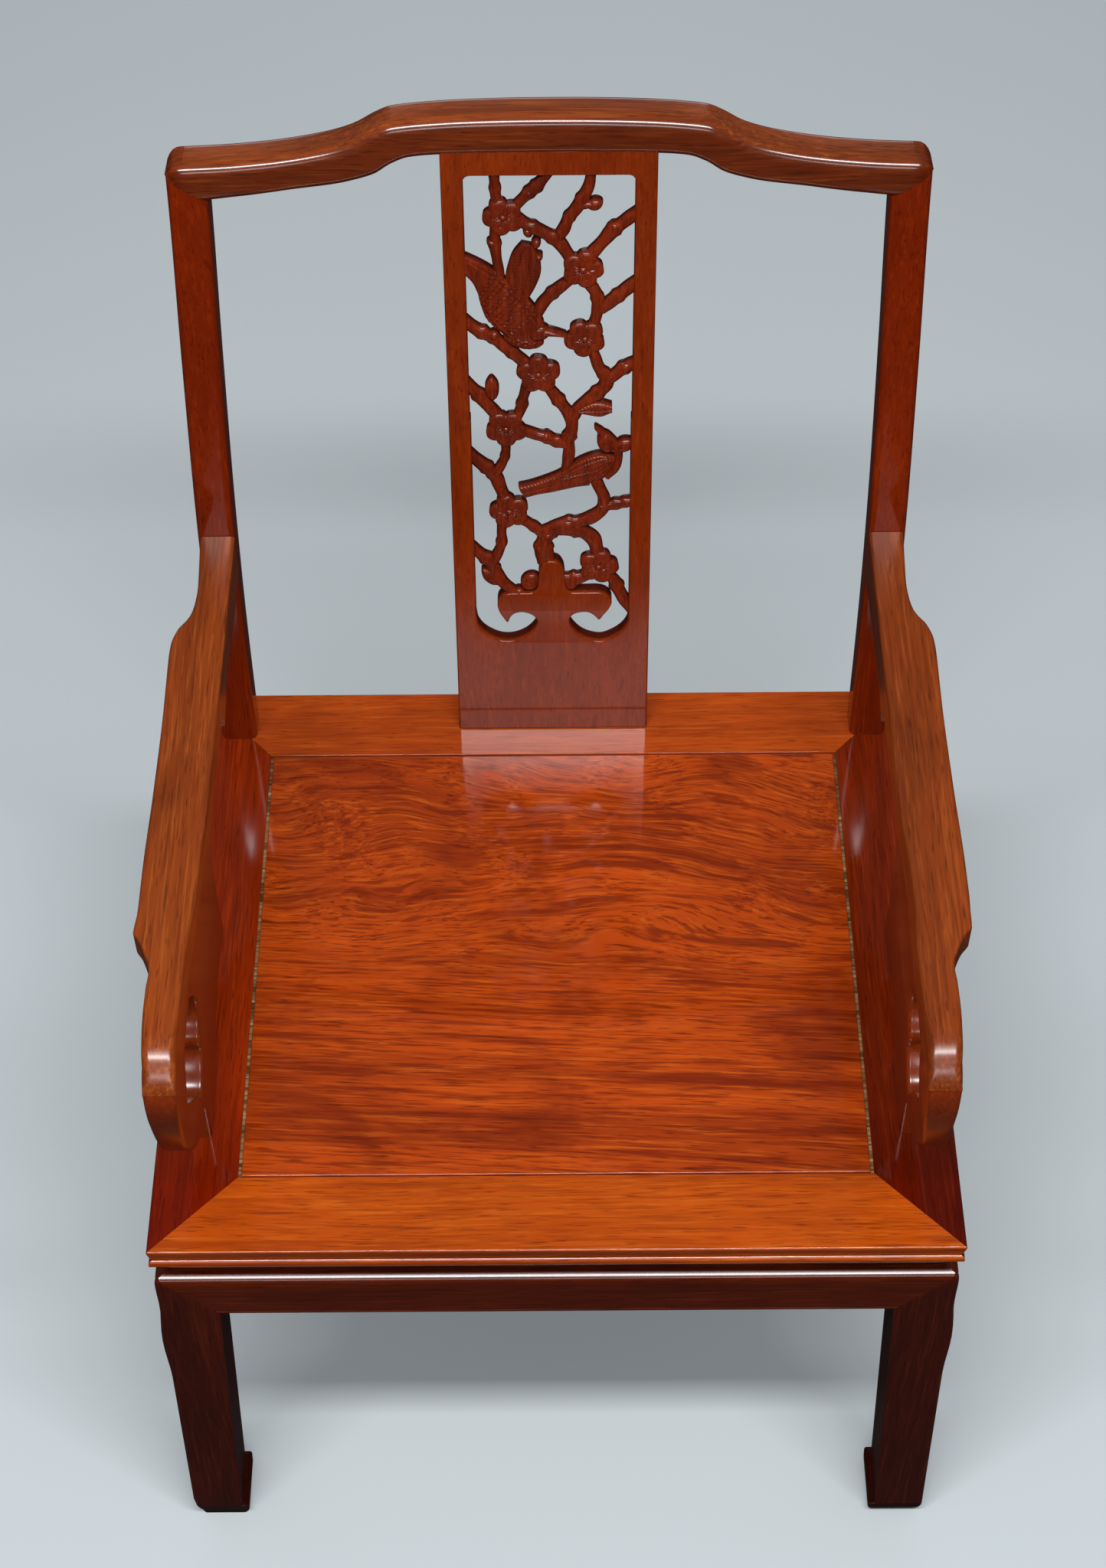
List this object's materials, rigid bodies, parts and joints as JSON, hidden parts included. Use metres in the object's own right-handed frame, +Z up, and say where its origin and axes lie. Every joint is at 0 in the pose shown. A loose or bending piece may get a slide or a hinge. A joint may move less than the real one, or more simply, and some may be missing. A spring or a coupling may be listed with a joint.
{
  "type": "chinese carved armchair",
  "caption": "Lacquered hardwood armchair with a framed floating seat panel, splayed hoof-foot legs, paddle arms and a pierced splat of birds and blossom branches under a stepped crest.",
  "frame": {"origin": "on the floor, under the middle of the chair's bounding box", "axes": "+Z up, -Y towards the sitter's front, +X to the right as seen from the front"},
  "size_m": [0.5872, 0.5577, 0.9804],
  "materials": {
    "frame_wood": "gloss lacquer",
    "panel_wood": "gloss lacquer",
    "batten_wood": "thin lacquer",
    "apron_wood": "gloss lacquer",
    "leg_wood": "gloss lacquer",
    "post_wood": "gloss lacquer",
    "crest_wood": "gloss lacquer",
    "splat_wood": "gloss lacquer",
    "arm_wood": "gloss lacquer",
    "support_wood": "gloss lacquer"
  },
  "bodies": {
    "root": {"seat_front_rail": "frame_wood", "seat_back_rail": "frame_wood", "seat_left_rail": "frame_wood", "seat_right_rail": "frame_wood", "seat_panel": "panel_wood", "left_batten": "batten_wood", "right_batten": "batten_wood", "front_waist": "apron_wood", "back_waist": "apron_wood", "left_waist": "apron_wood", "right_waist": "apron_wood", "front_apron": "apron_wood", "back_apron": "apron_wood", "left_apron": "apron_wood", "right_apron": "apron_wood", "front_left_leg": "leg_wood", "front_right_leg": "leg_wood", "back_left_leg": "leg_wood", "back_right_leg": "leg_wood", "left_back_post": "post_wood", "right_back_post": "post_wood", "crest_rail": "crest_wood", "back_splat": "splat_wood", "left_arm": "arm_wood", "right_arm": "arm_wood", "left_arm_support": "support_wood", "right_arm_support": "support_wood"}
  },
  "joints": []
}
